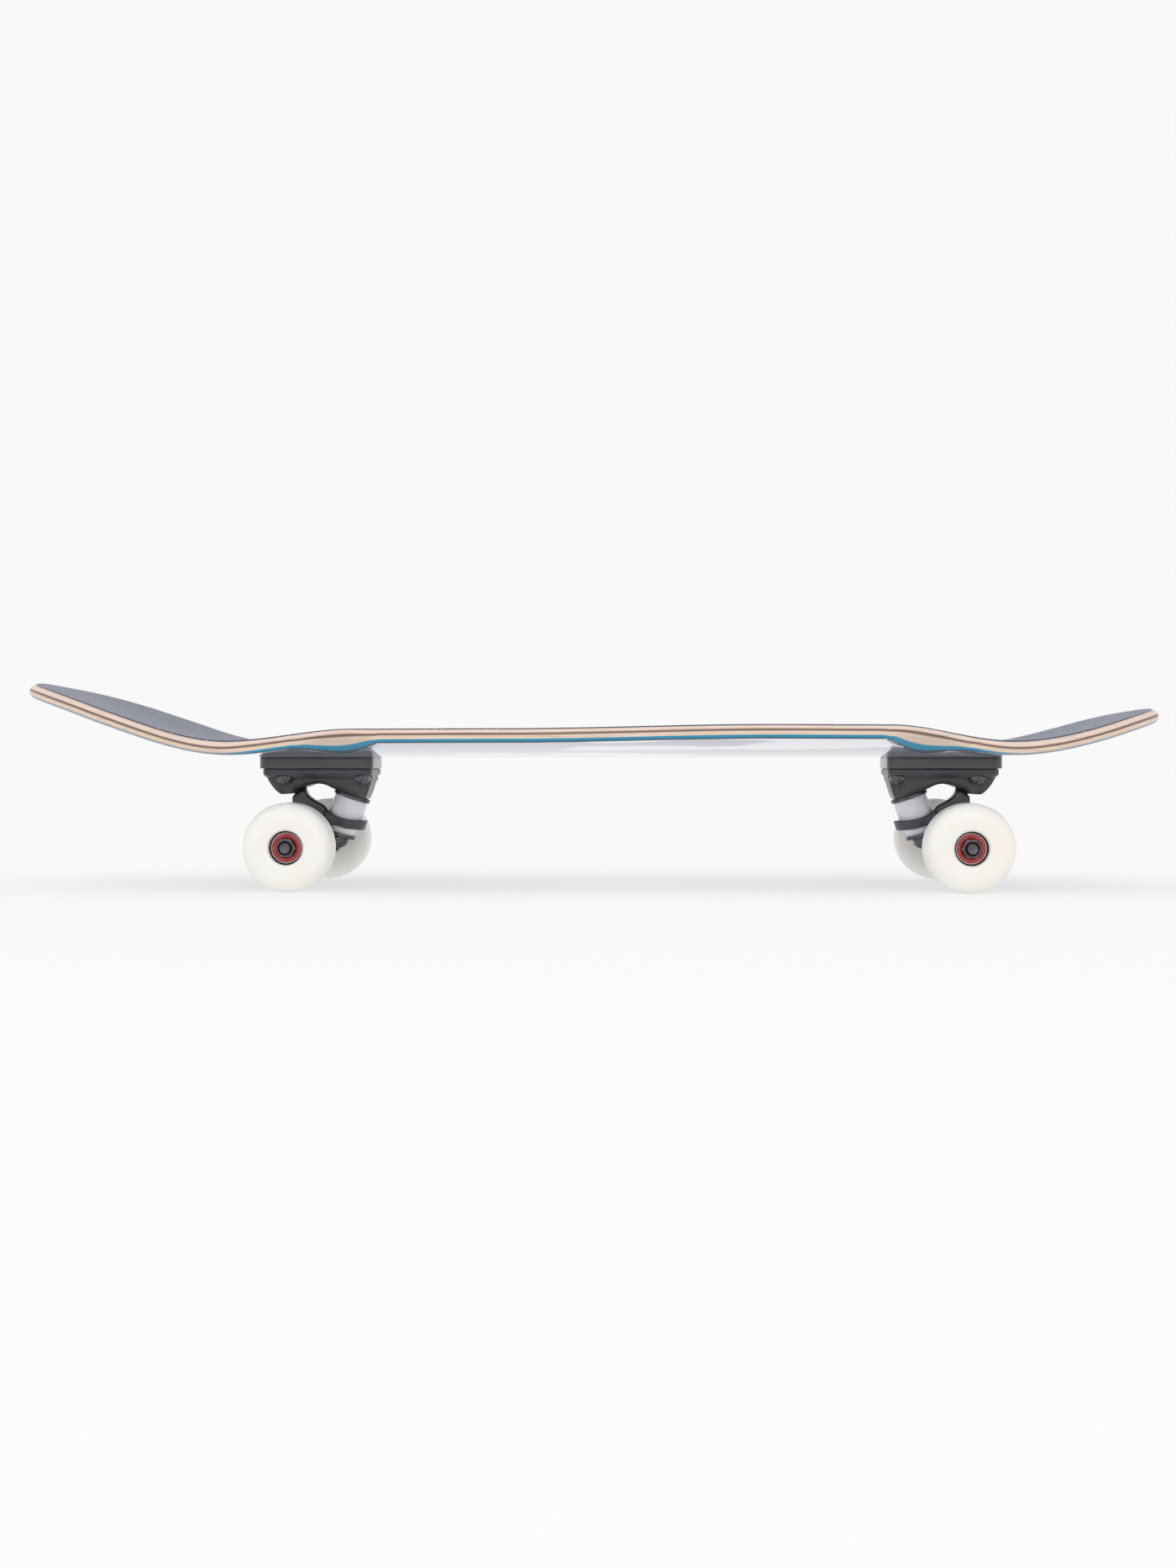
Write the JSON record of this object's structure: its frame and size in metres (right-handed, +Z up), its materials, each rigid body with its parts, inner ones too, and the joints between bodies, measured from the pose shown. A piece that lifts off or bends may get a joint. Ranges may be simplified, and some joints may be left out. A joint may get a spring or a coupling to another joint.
{
  "type": "skateboard",
  "caption": "Complete street cruiser skateboard: kicked maple deck with wheel wells, grip tape, risers, steering trucks with soft bushings and ball-bearing wheels.",
  "frame": {"origin": "on the floor, under the middle of the deck", "axes": "+X towards the nose, +Y to the rider's left, +Z up"},
  "size_m": [0.7622, 0.228, 0.1389],
  "materials": {
    "maple": "laminated maple with natural, brown and teal plies, edges oiled, underside under clear gloss",
    "grip": "coarse black abrasive sheet",
    "riser": "moulded black plastic, satin",
    "casting": "black satin paint over cast aluminium",
    "cup": "black nylon",
    "bushing": "cloudy clear urethane",
    "black_steel": "blackened steel",
    "bright_steel": "zinc-plated steel",
    "wheel": "white cast urethane, satin",
    "bearing": "dark steel races with a red rubber shield"
  },
  "bodies": {
    "board": {"deck": "maple", "grip_tape": "grip", "rear_outer_left_bolt": "black_steel", "rear_outer_left_lock_nut": "bright_steel", "rear_outer_right_bolt": "black_steel", "rear_outer_right_lock_nut": "bright_steel", "rear_inner_left_bolt": "black_steel", "rear_inner_left_lock_nut": "bright_steel", "rear_inner_right_bolt": "black_steel", "rear_inner_right_lock_nut": "bright_steel", "rear_riser_pad": "riser", "rear_baseplate": "casting", "rear_pivot_cup": "cup", "rear_kingpin": "black_steel", "rear_kingpin_nut": "black_steel", "rear_board_side_washer": "black_steel", "rear_board_side_bushing": "bushing", "rear_road_side_bushing": "bushing", "rear_road_side_washer": "black_steel", "front_outer_left_bolt": "black_steel", "front_outer_left_lock_nut": "bright_steel", "front_outer_right_bolt": "black_steel", "front_outer_right_lock_nut": "bright_steel", "front_inner_left_bolt": "black_steel", "front_inner_left_lock_nut": "bright_steel", "front_inner_right_bolt": "black_steel", "front_inner_right_lock_nut": "bright_steel", "front_riser_pad": "riser", "front_baseplate": "casting", "front_pivot_cup": "cup", "front_kingpin": "black_steel", "front_kingpin_nut": "black_steel", "front_board_side_washer": "black_steel", "front_board_side_bushing": "bushing", "front_road_side_bushing": "bushing", "front_road_side_washer": "black_steel"},
    "rear_steering": {"rear_hanger": "casting", "rear_axle": "black_steel", "rear_left_spacer": "bright_steel", "rear_left_axle_nut": "black_steel", "rear_right_spacer": "bright_steel", "rear_right_axle_nut": "black_steel"},
    "front_steering": {"front_hanger": "casting", "front_axle": "black_steel", "front_left_spacer": "bright_steel", "front_left_axle_nut": "black_steel", "front_right_spacer": "bright_steel", "front_right_axle_nut": "black_steel"},
    "rear_left_rolling": {"rear_left_wheel": "wheel", "rear_left_inner_bearing": "bearing", "rear_left_outer_bearing": "bearing"},
    "rear_right_rolling": {"rear_right_wheel": "wheel", "rear_right_inner_bearing": "bearing", "rear_right_outer_bearing": "bearing"},
    "front_left_rolling": {"front_left_wheel": "wheel", "front_left_inner_bearing": "bearing", "front_left_outer_bearing": "bearing"},
    "front_right_rolling": {"front_right_wheel": "wheel", "front_right_inner_bearing": "bearing", "front_right_outer_bearing": "bearing"}
  },
  "joints": [
    {"name": "rear_steer", "type": "hinge", "parent": "board", "child": "rear_steering", "pos_m": [-0.1697, 0, 0.045], "axis": [0.8389, 0, -0.5443], "range_deg": [-12, 12], "stiffness_Nm_per_rad": 60, "deforming": ["rear_board_side_bushing", "rear_road_side_bushing"]},
    {"name": "front_steer", "type": "hinge", "parent": "board", "child": "front_steering", "pos_m": [0.2242, 0, 0.045], "axis": [0.8389, 0, 0.5443], "range_deg": [-12, 12], "stiffness_Nm_per_rad": 60, "deforming": ["front_board_side_bushing", "front_road_side_bushing"]},
    {"name": "rear_left_spin", "type": "hinge", "parent": "rear_steering", "child": "rear_left_rolling", "pos_m": [-0.193, 0.088, 0.029], "axis": [0, 1, 0], "continuous": true},
    {"name": "rear_right_spin", "type": "hinge", "parent": "rear_steering", "child": "rear_right_rolling", "pos_m": [-0.193, -0.088, 0.029], "axis": [0, 1, 0], "continuous": true},
    {"name": "front_left_spin", "type": "hinge", "parent": "front_steering", "child": "front_left_rolling", "pos_m": [0.2475, 0.088, 0.029], "axis": [0, 1, 0], "continuous": true},
    {"name": "front_right_spin", "type": "hinge", "parent": "front_steering", "child": "front_right_rolling", "pos_m": [0.2475, -0.088, 0.029], "axis": [0, 1, 0], "continuous": true}
  ]
}
